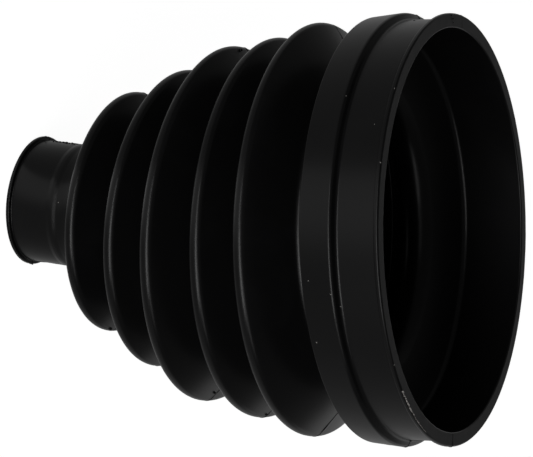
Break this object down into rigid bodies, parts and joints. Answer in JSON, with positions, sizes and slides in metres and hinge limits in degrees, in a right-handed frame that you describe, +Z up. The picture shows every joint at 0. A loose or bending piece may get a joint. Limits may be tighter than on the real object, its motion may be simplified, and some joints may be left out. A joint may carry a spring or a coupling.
{
  "type": "bellows boot",
  "caption": "Conical rubber bellows boot with a clamp seat at each end, for keeping grease in and dirt out of a shaft joint.",
  "frame": {"origin": "middle of the small end's face, on which the boot stands", "axes": "+Z up the small collar's axis; the folds bend towards -X, so the mouth leans that way"},
  "size_m": [0.0943, 0.0928, 0.1067],
  "materials": {
    "rubber": "satin black, as moulded"
  },
  "bodies": {
    "root": {"bellows_boot": "rubber"}
  },
  "joints": []
}
